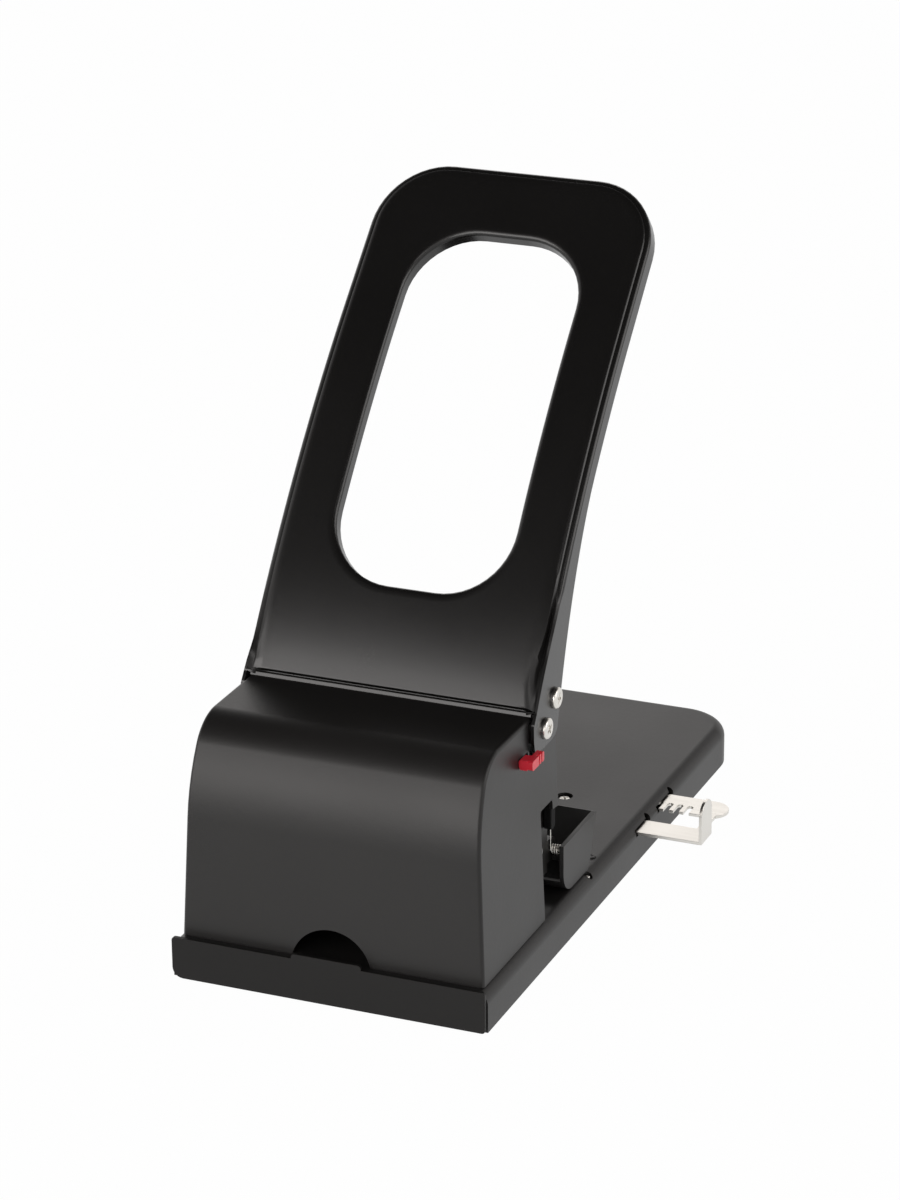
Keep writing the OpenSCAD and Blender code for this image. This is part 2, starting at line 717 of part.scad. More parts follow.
// Paper presser: an open trough that hinges up when paper is pushed under it
presser_round = 9;
presser_slant = 3.5;
function presser_edge(m) = concat(
  [for (a = [180 : 15 : 270]) [presser_y0 + presser_round, presser_z0 + presser_round] + (presser_round - m) * [cos(a), sin(a)]],
  [[presser_y0 + presser_d - presser_slant - m, presser_z0 + m], [presser_y0 + presser_d - m, presser_z0 + presser_h + m]]);

module presser_flap() color(plastic_black) placed() difference() {
  along_x(-presser_half, presser_half) polygon(concat(presser_edge(0), [[presser_y0, hinge_z + 3]]));
  along_x(-presser_half + presser_wall, presser_half - presser_wall) polygon(concat(
    presser_edge(presser_wall), [[presser_y0 + presser_wall, hinge_z + 5]]));
  // the rear stays open so that the trough clears the housing as it lifts
  block(-presser_half + presser_wall, presser_half - presser_wall, presser_y0 - 1, presser_y0 + presser_wall + 1,
    presser_z0 + presser_round * 0.6, hinge_z + 5);
  both_sides() rod_x(presser_half - presser_wall - 1, hinge_half + fit_gap, hinge_y, hinge_z, hinge_d + 2 * fit_gap);
}

module hinge_pin() color(bright_steel) placed() rod_x(-hinge_half, hinge_half, hinge_y, hinge_z, hinge_d);

// Torsion spring on the hinge pin: one leg on the front plate, the other in the presser
coil_x0 = plate_out + coil_start;
leg_up = [plate_y1 + front_t + torsion_wire, strip_z + 6];
leg_down = [presser_y0 + 20, presser_z0 + presser_wall + torsion_wire];
torsion_points = concat(
  [[coil_x0, leg_up[0], leg_up[1]]],
  [for (i = [0 : 8 * coil_turns]) let (a = 180 - 45 * i)
    [coil_x0 + coil_pitch * i / 8, hinge_y + coil_r * cos(a), hinge_z + coil_r * sin(a)]],
  [[coil_x0 + coil_pitch * coil_turns, leg_down[0], leg_down[1]]]
);
echo(torsion_spring_gap = least_gap(torsion_points, torsion_wire));

module presser_spring() wire(torsion_points, torsion_wire / 2, [1, 0.02, 0.01]);

module presser_spring_left() color(bright_steel) placed() mirror([1, 0, 0]) presser_spring();

module presser_spring_right() color(bright_steel) placed() presser_spring();

// Lock: a red knob on the housing's right side, and the bolt that it moves
bolt_end = plate_in - slide_gap;

module lock_bolt() color(grey_steel) placed() {
  block(bolt_x0, bolt_x0 + bolt_w, bolt_y0, bolt_tip, bolt_z0, bolt_z1);
  block(bolt_x0, bolt_end, bolt_y0, bolt_y0 + bolt_w, bolt_z0, bolt_z1);
  block(bolt_end - bolt_w, bolt_end, bolt_y0, bolt_y0 + bolt_w, bolt_z0, knob_mid + shank_h / 2);
}

module lock_knob() color(lock_red) placed() difference() {
  union() {
    block(bolt_end, cheek_out + 1, bolt_y0, bolt_y0 + shank_w, knob_mid - shank_h / 2, knob_mid + shank_h / 2);
    block(cheek_out + 0.4, cheek_out + knob_out, knob_y0, knob_y0 + knob_l, knob_z0, knob_z0 + knob_h);
  }
  for (i = [1, 2]) block(cheek_out + knob_out - knob_groove, cheek_out + knob_out + 1,
    knob_y0 + knob_l - knob_pitch * i - knob_groove / 2, knob_y0 + knob_l - knob_pitch * i + knob_groove / 2,
    knob_z0 - 1, knob_z0 + knob_h + 1);
}

// Chip tray and its front plate
module chip_tray() color(plastic_black) placed() difference() {
  block(-tray_half, tray_half, tray_plate_t, tray_d, tray_z0, tray_z1);
  block(-tray_half + tray_wall, tray_half - tray_wall, tray_plate_t + tray_wall, tray_d - tray_wall, tray_z0 + tray_wall, tray_z1 + 1);
}

module tray_front() color(steel_black) placed() along_y(0, tray_plate_t) {
  round_box_z(tray_plate_w / 2, plate_z0, tray_plate_top, 2);
  round_box_z(tab_half, plate_z0 + 4, tab_top, 1.5);
}

module round_box_z(half, z0, z1, r) round_box(half, z0, z1, r);

// Paper guide: a fork of bright steel that draws out of the base, with a stop tab on its near prong
module paper_guide() color(bright_steel) placed() difference() {
  union() {
    translate([0, 0, guide_z]) linear_extrude(guide_t) {
      translate([guide_inner_x, guide_y]) square([tab_x - guide_inner_x, near_w]);
      translate([guide_inner_x, guide_gap_y1]) square([tongue_x - far_w / 2 - guide_inner_x, far_w]);
      translate([tongue_x - far_w / 2, guide_gap_y1 + far_w / 2]) circle(far_w / 2);
      translate([tab_x - cross_w, guide_y]) square([cross_w, guide_w - far_w / 2]);
    }
    along_x(tab_x - guide_t, tab_x) {
      translate([guide_y, guide_z]) square([tab_w, tab_h - tab_w / 2]);
      translate([guide_y + tab_w / 2, guide_z + tab_h - tab_w / 2]) circle(tab_w / 2);
    }
  }
  for (i = [0 : 3]) rod_z(guide_z - 1, guide_z + guide_t + 1, base_half + 3 + i * tooth_pitch, guide_gap_y1, tooth_d);
}

// Keeper under the table that carries the guide, its two recessed screws and the detent spring
keeper_half = 50;
module guide_keeper() color(grey_steel) placed() difference() {
  union() {
    block(-keeper_half, keeper_half, guide_y - 5, guide_y + guide_w + 5, keeper_z1 - keeper_t, keeper_z1);
    for (y = [guide_y - 5, guide_y + guide_w + 1.5])
      block(-keeper_half, keeper_half, y, y + 3.5, keeper_z1 - 0.1, table_under);
    both_sides() rod_z(keeper_z1 - 0.1, guide_z + guide_t + 0.4, keeper_screw_x, keeper_screw_y, 5.2);
  }
  both_sides() rod_z(keeper_z1 - keeper_t - 1, table_under + 1, keeper_screw_x, keeper_screw_y, 3 + 2 * fit_gap);
}

module guide_screws() color(bright_steel) placed() both_sides()
  screw_z(keeper_screw_x, keeper_screw_y, guide_z + guide_t + 0.4, guide_t + keeper_t + 2, 5.6, 1.8, 3);

module guide_detent() color(bright_steel) placed() {
  block(30, 54, guide_gap_y1 - 5.5, guide_gap_y1 - 1.6, keeper_z1, keeper_z1 + 1);
  rod_z(keeper_z1, guide_z + guide_t, 52, guide_gap_y1 - 1.9, tooth_d);
}

base_shell();
bottom_plate();
rubber_feet();
spacer_posts();
post_screws();
cover_shell();
front_plate();
side_plate_left();
side_plate_right();
plate_bolts();
guide_block();
block_screws();
back_stop();
die_plate();
die_rivets();
pivot_shaft();
pivot_bushes();
pivot_screws();
hinge_pin();
presser_spring_left();
presser_spring_right();
return_spring_left();
return_spring_right();
guide_keeper();
guide_screws();
guide_detent();
lever_frame();
handle_face();
drive_shaft();
drive_screws();
punch_bar();
punch_pin_left();
punch_pin_right();
presser_flap();
lock_knob();
lock_bolt();
chip_tray();
tray_front();
paper_guide();
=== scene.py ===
import math

import bmesh
import bpy
from mathutils import Matrix, Vector


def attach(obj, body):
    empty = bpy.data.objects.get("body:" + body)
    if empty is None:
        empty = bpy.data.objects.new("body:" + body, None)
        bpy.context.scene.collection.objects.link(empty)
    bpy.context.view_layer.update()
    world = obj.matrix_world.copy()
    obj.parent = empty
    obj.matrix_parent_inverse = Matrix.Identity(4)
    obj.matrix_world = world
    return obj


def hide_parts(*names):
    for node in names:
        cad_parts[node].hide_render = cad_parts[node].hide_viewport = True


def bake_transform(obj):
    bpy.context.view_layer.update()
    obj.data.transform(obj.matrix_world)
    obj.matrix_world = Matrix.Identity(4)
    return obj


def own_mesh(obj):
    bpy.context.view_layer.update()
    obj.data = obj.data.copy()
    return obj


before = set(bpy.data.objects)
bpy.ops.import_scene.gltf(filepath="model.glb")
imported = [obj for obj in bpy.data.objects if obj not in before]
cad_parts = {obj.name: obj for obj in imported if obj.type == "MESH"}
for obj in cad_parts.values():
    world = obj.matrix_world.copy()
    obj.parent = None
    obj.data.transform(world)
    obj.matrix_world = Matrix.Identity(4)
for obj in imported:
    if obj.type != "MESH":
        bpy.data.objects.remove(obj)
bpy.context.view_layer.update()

# Studio
# A white sweep with a wide low soft box behind the camera, one at the right, a weak one far behind
# and a small one for the lever's edge. The room overhead is dark, so the black paint keeps its depth.
mm = 0.001
pure_white = (1, 1, 1, 1)
horizon = (1, 0.975, 0.96, 1)
lamp_colour = (1.0, 0.972, 0.955)


def alone():
    """Leaves edit mode and deselects everything."""
    if bpy.context.object and bpy.context.object.mode != "OBJECT":
        bpy.ops.object.mode_set(mode="OBJECT")
    bpy.ops.object.select_all(action="DESELECT")


class Value:
    """A number that changes over a surface, with the sums that finishes need."""

    def __init__(self, tree, socket):
        self.tree, self.socket = tree, socket

    def sum(self, operation, other):
        made = self.tree.nodes.new("ShaderNodeMath")
        made.operation = operation
        for entry, term in zip(made.inputs, (self, other)):
            if isinstance(term, Value):
                self.tree.links.new(term.socket, entry)
            else:
                entry.default_value = term
        return Value(self.tree, made.outputs[0])

    def __add__(self, other):
        return self.sum("ADD", other)

    __radd__ = __add__

    def __mul__(self, other):
        return self.sum("MULTIPLY", other)

    __rmul__ = __mul__


class Finish:
    """The nodes of a material or of the world, with one way to add a node."""

    def __init__(self, owner):
        owner.use_nodes = True
        self.owner, self.tree = owner, owner.node_tree
        self.tree.nodes.clear()

    def node(self, kind, settings, inputs, output=0):
        made = self.tree.nodes.new(kind)
        for name, setting in settings.items():
            if name == "stops":
                ramp = made.color_ramp.elements
                while len(ramp) < len(setting):
                    ramp.new(1.0)
                for stop, (place, colour) in zip(ramp, setting):
                    stop.position, stop.color = place, colour
            else:
                setattr(made, name, setting)
        for name, given in inputs.items():
            if isinstance(given, Value):
                self.tree.links.new(given.socket, made.inputs[name])
            else:
                made.inputs[name].default_value = given
        return Value(self.tree, made.outputs[output]) if made.outputs else None


room = Finish(bpy.data.worlds.new("studio"))
bpy.context.scene.world = room.owner
seen = room.node("ShaderNodeLightPath", {}, {}, "Is Camera Ray")
mirrored = room.node("ShaderNodeLightPath", {}, {}, "Is Glossy Ray")
heading = room.node("ShaderNodeTexCoord", {}, {}, "Generated")
height = room.node("ShaderNodeSeparateXYZ", {}, {"Vector": heading}, "Z")
dome = room.node("ShaderNodeValToRGB", {"stops": [
    (0.0, horizon), (0.42, horizon), (0.55, (0.35, 0.34, 0.335, 1)),
    (0.72, (0.06, 0.06, 0.06, 1)), (1.0, (0.03, 0.03, 0.03, 1))]}, {"Fac": height}, "Color")
soft = room.node("ShaderNodeBackground", {}, {"Color": dome, "Strength": 0.55})
bright = room.node("ShaderNodeBackground", {}, {"Color": dome, "Strength": 1.0})
backdrop = room.node("ShaderNodeBackground", {}, {"Color": pure_white, "Strength": 1.0})
lit = room.node("ShaderNodeMixShader", {}, {0: mirrored, 1: soft, 2: bright})
shown = room.node("ShaderNodeMixShader", {}, {0: seen, 1: lit, 2: backdrop})
room.node("ShaderNodeOutputWorld", {}, {"Surface": shown})

alone()
bpy.ops.mesh.primitive_plane_add(size=8, location=(0, 1.0, 0))
floor = bpy.context.object
floor.name = "studio_floor"
sweep = Finish(bpy.data.materials.new("white_sweep"))
seen = sweep.node("ShaderNodeLightPath", {}, {}, "Is Camera Ray")
mirrored = sweep.node("ShaderNodeLightPath", {}, {}, "Is Glossy Ray")
matt = sweep.node("ShaderNodeBsdfDiffuse", {}, {"Color": (0.86, 0.86, 0.86, 1)})
glow = sweep.node("ShaderNodeEmission", {}, {"Color": pure_white, "Strength": 1.0})
mostly_glow = sweep.node("ShaderNodeMixShader", {}, {0: 0.985, 1: matt, 2: glow})
shown = sweep.node("ShaderNodeMixShader", {}, {0: seen + mirrored, 1: matt, 2: mostly_glow})
sweep.node("ShaderNodeOutputMaterial", {}, {"Surface": shown})
floor.data.materials.append(sweep.owner)

for name, place, target, long, high, watts in [
    ("lamp_behind_camera", (-0.75, -1.95, 0.52), (0, -0.08, 0.10), 2.4, 1.04, 33.0),
    ("lamp_right", (1.7, 0.1, 0.95), (0, -0.05, 0.08), 1.2, 1.2, 11.0),
    ("lamp_far", (-0.85, 1.65, 0.85), (0, 0, 0.10), 1.1, 0.8, 2.2),
    ("lamp_edge", (0.95, -1.4, 1.35), (0, -0.02, 0.15), 0.5, 0.5, 2.0),
]:
    alone()
    bpy.ops.object.light_add(type="AREA", location=place)
    lamp = bpy.context.object
    lamp.name = name
    lamp.data.shape, lamp.data.color = "RECTANGLE", lamp_colour
    lamp.data.size, lamp.data.size_y, lamp.data.energy = long, high, watts
    lamp.rotation_euler = (Vector(target) - Vector(place)).to_track_quat("-Z", "Y").to_euler()

# Camera
# It stands behind the punch, to its right, and looks down on it, as the photographer did.
# Its turn, its place in metres and its lens were fitted to the photo's straight edges.
yaw, pitch, roll = math.radians(22.78), math.radians(21.40), math.radians(-0.48)
camera_place = (0.55625, -1.34476, 0.68032)
lens, sensor = 121.7, 36
ahead = Vector((-math.sin(yaw) * math.cos(pitch), math.cos(yaw) * math.cos(pitch), -math.sin(pitch)))
level = Vector((math.cos(yaw), math.sin(yaw), 0))
above = level.cross(ahead)
across = level * math.cos(roll) + above * math.sin(roll)
upward = above * math.cos(roll) - level * math.sin(roll)
alone()
bpy.ops.object.camera_add(location=camera_place)
camera = bpy.context.object
camera.name = "camera"
camera.data.lens, camera.data.sensor_width = lens, sensor
camera.rotation_euler = Matrix((across, upward, -ahead)).transposed().to_euler()
bpy.context.scene.camera = camera
bpy.context.scene.view_settings.view_transform = "Standard"

# Base shell
# One steel pressing with a rounded edge, open at the rear for the chip tray and at the underside.
# It is sprayed satin black, with mouths at the right for the paper guide and holes in its top.
rear = 140
sheet = 1.5
base_half, base_low, table_top = 62.9, 1.7, 17.7
base_start, base_end = 2.1, 280
corner_round, edge_roll = 21, 5
mouths = ((156.8, 171.2, 171.4), (181.3, 198.2, 198.4))
mouth_low, mouth_middle, mouth_high = 12.8, 14.9, 15.5
mouth_round = 1.9
pin_x, pin_y, pin_hole = 40, 78.2, 6.05
keeper_x, keeper_y, keeper_hole = 26.3, 173.5, 3.3
stud_x, stud_y, stud_hole, stud_floor = 60.3, 109.8, 1.9, 15.4
rivet_x, rivet_ys, rivet_hole = 18, (74.2, 82.2), 1.55


def spot(x, y, z):
    """A place in millimetres, with y measured from the rear face of the tray's plate."""
    return Vector((x, y - rear, z)) * mm


def millimetres(co):
    """The way back from a point of a mesh to such a place."""
    return Vector((co.x / mm, co.y / mm + rear, co.z / mm))


def hold(piece):
    """Selects one piece alone and makes it the active one."""
    alone()
    piece.select_set(True)
    bpy.context.view_layer.objects.active = piece


def settle(piece):
    """Writes a piece's place, turn and scale into its mesh."""
    hold(piece)
    bpy.ops.object.transform_apply(location=True, rotation=True, scale=True)
    return piece


def block(name, low, high):
    alone()
    low, high = spot(*low), spot(*high)
    bpy.ops.mesh.primitive_cube_add(size=1, location=(low + high) / 2)
    made = bpy.context.object
    made.name = made.data.name = name
    made.scale = high - low
    return settle(made)


def rod(name, start, end, radius, sides=32):
    alone()
    start, end = spot(*start), spot(*end)
    bpy.ops.mesh.primitive_cylinder_add(vertices=sides, radius=radius * mm,
                                        depth=(end - start).length, location=(start + end) / 2)
    made = bpy.context.object
    made.name = made.data.name = name
    made.rotation_euler = (end - start).to_track_quat("Z", "Y").to_euler()
    return settle(made)


def drill(x, y, radius, sides=32, low=14):
    """A cutter for a round hole down through the table."""
    return rod("cut", (x, y, low), (x, y, 20), radius, sides)


def work_on(piece, kind):
    """Opens a piece in edit mode with nothing selected."""
    hold(piece)
    bpy.ops.object.mode_set(mode="EDIT")
    bpy.ops.mesh.select_mode(type=kind)
    bpy.ops.mesh.select_all(action="DESELECT")


def pick_points(piece, test):
    work_on(piece, "VERT")
    shape = bmesh.from_edit_mesh(piece.data)
    for v in shape.verts:
        v.select_set(test(millimetres(v.co)))
    shape.select_flush(True)
    bmesh.update_edit_mesh(piece.data)


def pick_edges(piece, test):
    """Selects edges by their two ends and the normals of their faces."""
    work_on(piece, "EDGE")
    shape = bmesh.from_edit_mesh(piece.data)
    shape.normal_update()
    for e in shape.edges:
        a, b = (millimetres(v.co) for v in e.verts)
        e.select_set(test(a, b, [f.normal for f in e.link_faces]))
    bmesh.update_edit_mesh(piece.data)


def pick_faces(piece, test):
    """Selects faces by their centre and normal."""
    work_on(piece, "FACE")
    shape = bmesh.from_edit_mesh(piece.data)
    shape.normal_update()
    for f in shape.faces:
        f.select_set(test(millimetres(f.calc_center_median()), f.normal))
    bmesh.update_edit_mesh(piece.data)


def round_over(radius, segments):
    bpy.ops.mesh.bevel(offset=radius * mm, offset_type="OFFSET", segments=segments,
                       affect="EDGES", profile=0.5)


def put_on(piece, kind, **settings):
    """Adds a modifier, sets it and applies it."""
    hold(piece)
    added = piece.modifiers.new(kind.lower(), kind)
    for name, setting in settings.items():
        setattr(added, name, setting)
    bpy.ops.object.modifier_apply(modifier=added.name)


def combine(piece, operation, others):
    """Cuts other shapes out of a piece or joins them to it, and clears them away."""
    for other in others:
        put_on(piece, "BOOLEAN", operation=operation, solver="EXACT", object=other)
        bpy.data.objects.remove(other, do_unlink=True)


def cut_away(piece, *cutters):
    combine(piece, "DIFFERENCE", cutters)


def soften(piece, width, segments=2, angle=35):
    put_on(piece, "BEVEL", width=width * mm, segments=segments,
           limit_method="ANGLE", angle_limit=math.radians(angle))


def hand_over(piece, body, finish, nodes=(), angle=35):
    """Smooth shading, the finish, and the place on a body of the punch."""
    hold(piece)
    bpy.ops.object.shade_smooth_by_angle(angle=math.radians(angle))
    put_on(piece, "WEIGHTED_NORMAL", keep_sharp=True)
    piece.data.materials.clear()
    piece.data.materials.append(finish)
    if body:
        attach(piece, body)
    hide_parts(*nodes)


def sprayed_paint(name, colour, rough, grain, specular):
    """Satin paint: a fine sprayed grain, a slow drift in sheen and a little dust."""
    darker, lighter = ((*[c * share for c in colour], 1) for share in (0.82, 1.18))
    dust_colour = (0.12, 0.12, 0.115, 1)
    paint = Finish(bpy.data.materials.new(name))
    where = paint.node("ShaderNodeTexCoord", {}, {}, "Object")
    fine = paint.node("ShaderNodeTexNoise", {},
                      {"Vector": where, "Scale": 1500, "Detail": 3, "Roughness": 0.6})
    peel = paint.node("ShaderNodeTexNoise", {}, {"Vector": where, "Scale": 320, "Detail": 2})
    drift = paint.node("ShaderNodeTexNoise", {}, {"Vector": where, "Scale": 18, "Detail": 4})
    dust = paint.node("ShaderNodeValToRGB", {"stops": [(0.72, (0, 0, 0, 1)), (0.80, pure_white)]},
                      {"Fac": fine})
    shade = paint.node("ShaderNodeMix", {"data_type": "RGBA"}, {0: drift, 6: darker, 7: lighter}, 2)
    dusty = paint.node("ShaderNodeMix", {"data_type": "RGBA"},
                       {0: dust * 0.10, 6: shade, 7: dust_colour}, 2)
    bump = paint.node("ShaderNodeBump", {}, {"Strength": grain, "Distance": 0.00012,
                                             "Height": fine * 0.7 + peel * 0.6})
    shader = paint.node("ShaderNodeBsdfPrincipled", {}, {
        "Base Color": dusty, "Roughness": rough - 0.05 + drift * 0.10 + fine * 0.05,
        "Specular IOR Level": specular, "Normal": bump})
    paint.node("ShaderNodeOutputMaterial", {}, {"Surface": shader})
    return paint.owner


satin_black = sprayed_paint("satin_black_paint", (0.0105, 0.0098, 0.0095), 0.38, 0.30, 0.33)
base = block("base_pressing", (-base_half, base_start, base_low), (base_half, base_end, table_top))
pick_edges(base, lambda a, b, n: min(a.y, b.y) > base_end - 1 and abs(a.z - b.z) > 5)
round_over(corner_round, 14)
pick_edges(base, lambda a, b, n: min(a.z, b.z) > table_top - 0.5 and max(a.y, b.y) > base_start + 1)
round_over(edge_roll, 7)
pick_faces(base, lambda c, n: n.z < -0.9 or (n.y < -0.9 and c.y < base_start + 1))
bpy.ops.mesh.delete(type="FACE")
put_on(base, "SOLIDIFY", thickness=sheet * mm, offset=-1, use_even_offset=True)
cut_away(base,
         *[block("cut", (57, start, mouth_low), (64, end, mouth_high)) for start, end, _ in mouths],
         *[rod("cut", (57, y, mouth_middle), (64, y, mouth_middle), mouth_round, 24)
           for _, _, y in mouths],
         *[drill(x, stud_y, stud_hole, 24, stud_floor) for x in (stud_x, -stud_x)],
         *[drill(x, keeper_y, keeper_hole) for x in (keeper_x, -keeper_x)],
         *[drill(x, pin_y, pin_hole) for x in (pin_x, -pin_x)],
         *[drill(x, y, rivet_hole, 20) for x in (-rivet_x, rivet_x) for y in rivet_ys])
soften(base, 0.35)
hand_over(base, "base", satin_black, ["base_shell"])

# Closing plate
# A flat steel plate under the base, painted with it, which the feet are pushed into.
# Four screws through the table hold it by its posts.


def coat(finish, *names):
    """Gives a finish to nodes that keep their solid form."""
    for name in names:
        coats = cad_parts[name].data.materials
        coats.clear()
        coats.append(finish)


coat(satin_black, "bottom_plate")

# Feet
# Four moulded rubber pads with a rounded rim, each held by a stem pushed through the closing plate.
# The rubber is black, with a faint grey bloom.
foot_radius, foot_high, foot_rim = 10.8, 1.7, 0.7
stem_inset, stem_high = 8.3, 1.2
pad_x, pad_ys = 49.9, (15, 256)


def two_tone(name, tones, drift, grain, lift, gloss, stretch=None, sockets=None):
    """A finish whose tone drifts between two colours, with a fine grain that lifts its surface.

    drift and grain are each a noise's scale and detail, lift is the bump's strength and distance,
    gloss is the least roughness and what drift and grain add to it, and stretch draws the grain out.
    """
    darker, lighter = ((*tone, 1) for tone in tones)
    made = Finish(bpy.data.materials.new(name))
    where = made.node("ShaderNodeTexCoord", {}, {}, "Object")
    along = where
    if stretch:
        along = made.node("ShaderNodeMapping", {}, {"Vector": where, "Scale": stretch})
    slow = made.node("ShaderNodeTexNoise", {}, {"Vector": where, "Scale": drift[0], "Detail": drift[1]})
    fine = made.node("ShaderNodeTexNoise", {}, {"Vector": along, "Scale": grain[0], "Detail": grain[1]})
    tone = made.node("ShaderNodeMix", {"data_type": "RGBA"}, {0: slow, 6: darker, 7: lighter}, 2)
    bump = made.node("ShaderNodeBump", {}, {"Strength": lift[0], "Distance": lift[1], "Height": fine})
    shader = made.node("ShaderNodeBsdfPrincipled", {}, {
        "Base Color": tone, "Roughness": gloss[0] + slow * gloss[1] + fine * gloss[2],
        "Normal": bump, **(sockets or {})})
    made.node("ShaderNodeOutputMaterial", {}, {"Surface": shader})
    return made.owner


rubber = two_tone("foot_rubber", tones=((0.010, 0.010, 0.010), (0.024, 0.023, 0.022)),
                  drift=(60, 3), grain=(900, 4), lift=(0.35, 0.0002), gloss=(0.74, 0.16, 0))
for i, (x, y) in enumerate((x, y) for y in pad_ys for x in (pad_x, -pad_x)):
    foot = rod(f"foot_{i + 1}", (x, y, 0), (x, y, foot_high), foot_radius, 48)
    pick_edges(foot, lambda a, b, n: max(a.z, b.z) < 0.1)
    round_over(foot_rim, 3)
    pick_faces(foot, lambda c, n: n.z > 0.9)
    bpy.ops.mesh.inset(thickness=stem_inset * mm)
    bpy.ops.mesh.extrude_region_move(TRANSFORM_OT_translate={"value": (0, 0, stem_high * mm)})
    hand_over(foot, "base", rubber, ["rubber_feet"])

# Frame inside the housing
# Side plates and front plate are folded from painted sheet and bolted to the table.
# The posts, the guide block, back stop, die plate, punch bar and shafts are turned or ground steel.
steel = two_tone("ground_steel", tones=((0.24, 0.235, 0.23), (0.42, 0.41, 0.40)),
                 drift=(70, 4), grain=(1, 3), lift=(0.15, 0.0001), gloss=(0.30, 0, 0.16),
                 stretch=(60, 900, 900), sockets={"Metallic": 1.0})
coat(satin_black, "side_plate_left", "side_plate_right", "front_plate")
coat(steel, "spacer_posts", "plate_bolts", "guide_block", "block_screws", "back_stop", "die_plate",
     "die_rivets", "pivot_shaft", "pivot_bushes", "guide_keeper", "drive_shaft", "punch_bar",
     "lock_bolt")

# Bright pieces that keep their solid form
# The punch pins, the presser's hinge pin and the guide's detent are turned or bent from steel,
# and nickel plated.
nickel = two_tone("nickel_plate", tones=((0.62, 0.60, 0.56), (0.78, 0.76, 0.72)),
                  drift=(45, 4), grain=(1, 3), lift=(0.10, 0.00008), gloss=(0.22, 0.06, 0.12),
                  stretch=(90, 1400, 1400), sockets={"Metallic": 1.0})
coat(nickel, "punch_pin_left", "punch_pin_right", "hinge_pin", "guide_detent")

# Housing cover
# Sheet steel folded over the punching gear: a leaning rear wall, one wide bend and a flat top.
# Both sides are notched for the lever and open in front for the paper; the paint is the base's.
cover_half, cover_rear, cover_front, cover_top = 60.2, 4.8, 83.2, 101
cover_high, cover_lean = 83.3, 3.6
bend_steps = 18
tight, slow, change = 16.0, 64.0, math.radians(25)
fold_round = 1.5
notch_low = 85.46
throat_rear, throat_front, throat_top = 65.4, 77.5, 61.6
finger_radius, finger_z = 16.1, 13.7

cover = block("housing_cover", (-cover_half, cover_rear, table_top),
              (cover_half, cover_front, cover_top))
pick_points(cover, lambda p: p.z > cover_top - 1)
bpy.ops.transform.resize(value=((cover_half - cover_lean) / cover_half, 1, 1), center_override=(0, 0, 0))
pick_edges(cover, lambda a, b, n: min(a.z, b.z) > cover_top - 1 and max(a.y, b.y) < 10)
round_over(19.2, bend_steps)
# The bend's steps are then set out on two arcs, a slow one up from the wall and a tight one to the top
bpy.ops.object.mode_set(mode="OBJECT")
bend = [v for v in cover.data.vertices if millimetres(v.co).z > 18 and millimetres(v.co).y < 40]
levels = sorted({round(v.co.z, 6) for v in bend})
for v in bend:
    turn = levels.index(round(v.co.z, 6)) / (len(levels) - 1) * math.pi / 2
    late, early = max(turn, change), min(turn, change)
    rise = cover_top - tight * (1 - math.sin(late)) - slow * (math.sin(change) - math.sin(early))
    run = slow * (1 - math.cos(early)) + tight * (math.cos(change) - math.cos(late))
    lean = cover_lean * (rise - table_top) / cover_high
    v.co = spot(math.copysign(cover_half - lean, v.co.x), cover_rear + lean + run, rise)
pick_faces(cover, lambda c, n: n.z < -0.9 or n.y > 0.9)
bpy.ops.mesh.delete(type="FACE")
pick_edges(cover, lambda a, b, n: len(n) == 2 and max(abs(n[0].x), abs(n[1].x)) > 0.9
           and min(abs(n[0].x), abs(n[1].x)) < 0.5)
round_over(fold_round, 4)
put_on(cover, "SOLIDIFY", thickness=sheet * mm, offset=-1, use_even_offset=True)
throat = block("cut", (-70, throat_rear, 10), (70, throat_front, throat_top))
pick_edges(throat, lambda a, b, n: min(a.z, b.z) > throat_top - 1 and abs(a.x - b.x) > 50)
round_over(1.2, 3)
strip_end = block("cut", (-70, 70, 10), (70, 90, 56.0))
pick_points(strip_end, lambda p: p.z > 55 and p.y < 75)
bpy.ops.transform.translate(value=(0, 0, 2.6 * mm))
lever_room = block("cut", (-70, 61.8, notch_low), (70, 90, 110))
cheek_rooms = [block("cut", low, high) for low, high in (
    ((51, 57, notch_low), (70, 90, 99.5)), ((-70, 57, notch_low), (-51, 90, 99.5)))]
finger_notch = rod("cut", (0, 2, finger_z), (0, 14, finger_z), finger_radius, 64)
lock_slot = block("cut", (45, 46.7, 86.3), (70, 55.8, 89.5))
cut_away(cover, lever_room, *cheek_rooms, throat, strip_end, finger_notch, lock_slot)
soften(cover, 0.3)
hand_over(cover, "base", satin_black, ["cover_shell"])

# Lever
# One steel pressing: a face that flares out over the housing, deep flanges at both sides that end in
# round cheeks on the pivot, and a long grip opening with a drawn-in wall. Semi-gloss black paint.
gloss_black = sprayed_paint("lever_paint", (0.0066, 0.0062, 0.0060), 0.22, 0.12, 0.43)
lever_sheet, lever_edge = 1.2, 0.9
lever_long, foot_y, foot_z = 214.0, 60.54, 103.0
low_lean, high_lean, bend_long = math.radians(31), math.radians(45.5), 150.0
bend_rate = (high_lean - low_lean) / bend_long
wide, top_round, top_narrowing = 59.0, 28.0, 2.4
pivot_y, pivot_z = 68.54, 94
grip_half, grip_low, grip_high, grip_round = 36.7, 39.0, 185.0, 27.0
grip_flat = grip_half - grip_round
turn_x, turn_s = grip_flat + grip_round * math.sqrt(0.5), grip_low + grip_round * (1 - math.sqrt(0.5))
